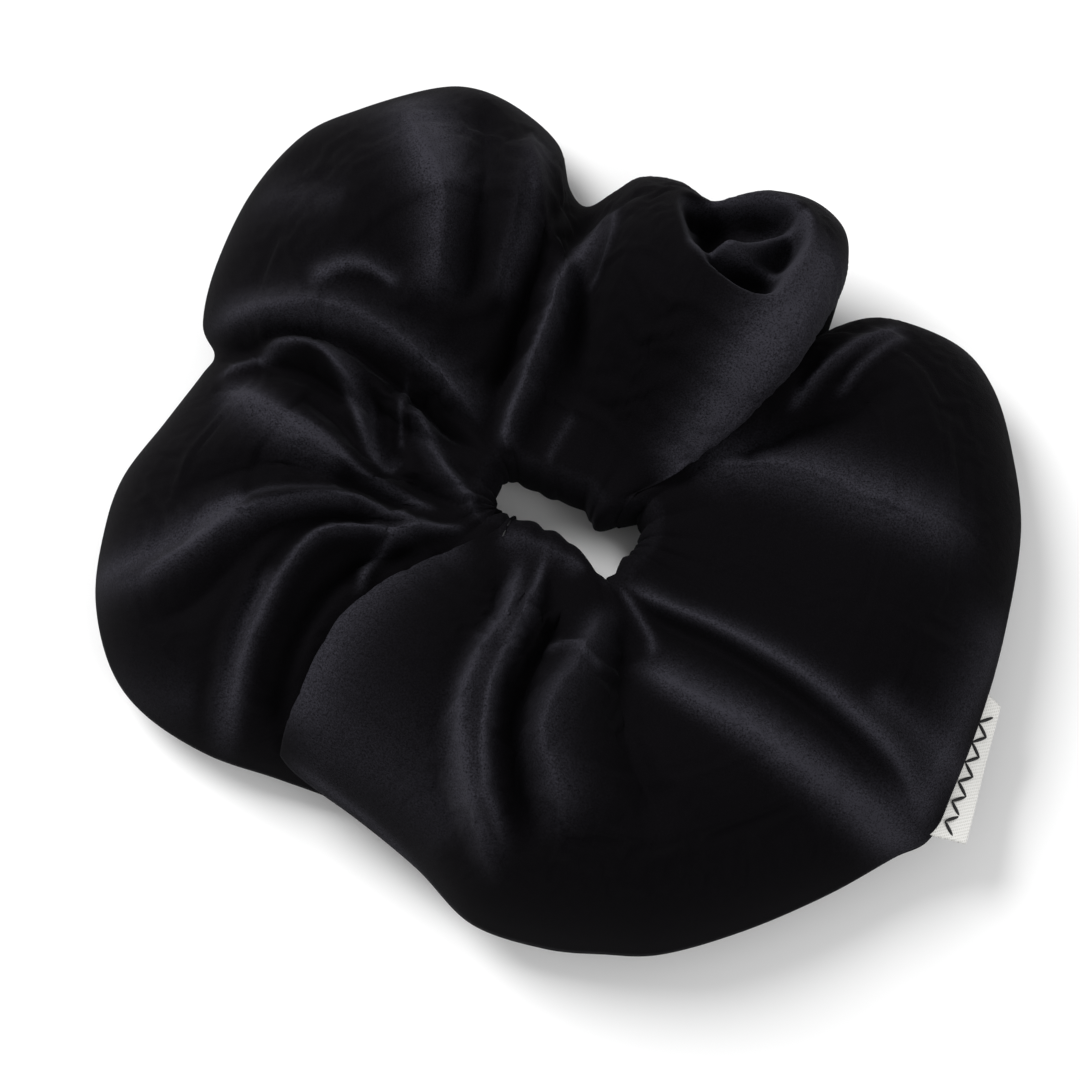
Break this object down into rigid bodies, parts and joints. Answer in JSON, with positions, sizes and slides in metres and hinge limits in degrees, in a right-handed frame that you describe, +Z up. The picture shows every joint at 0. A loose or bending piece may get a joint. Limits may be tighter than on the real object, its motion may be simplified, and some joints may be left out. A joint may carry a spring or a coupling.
{
  "type": "hair scrunchie",
  "caption": "Oversized black velvet scrunchie: a sewn velvet tube gathered into deep lobes on an elastic loop, with a folded woven label in its rim seam.",
  "frame": {"origin": "middle of the scrunchie's box, on the plane that it rests on", "axes": "+Z up from the resting plane; X along its longest way, with the label at +X; Y across it, with the label's side at -Y"},
  "size_m": [0.1645, 0.1552, 0.0454],
  "materials": {
    "velvet": "matte",
    "elastic": "matte",
    "lap_thread": "matte",
    "seam_thread": "matte",
    "label_tape": "satin"
  },
  "bodies": {
    "near_half": {"cover_near_half": "velvet", "elastic_band": "elastic", "elastic_lap_thread": "lap_thread", "rim_seam_thread_near": "seam_thread", "closing_thread": "seam_thread", "end_seam_thread": "seam_thread"},
    "far_half": {"cover_far_half": "velvet", "rim_seam_thread_far": "seam_thread"},
    "label": {"woven_label": "label_tape"}
  },
  "joints": [
    {"name": "loop_stretch", "type": "slide", "parent": "near_half", "child": "far_half", "axis": [0, 1, 0], "range_m": [0, 0.07], "stiffness_N_per_m": 80, "deforming": ["elastic_band"]},
    {"name": "label_flap", "type": "hinge", "parent": "near_half", "child": "label", "pos_m": [0.06957, -0.04181, 0.014], "axis": [-0.3641, -0.9314, 0], "range_deg": [-45, 80], "stiffness_Nm_per_rad": 0.0003}
  ]
}
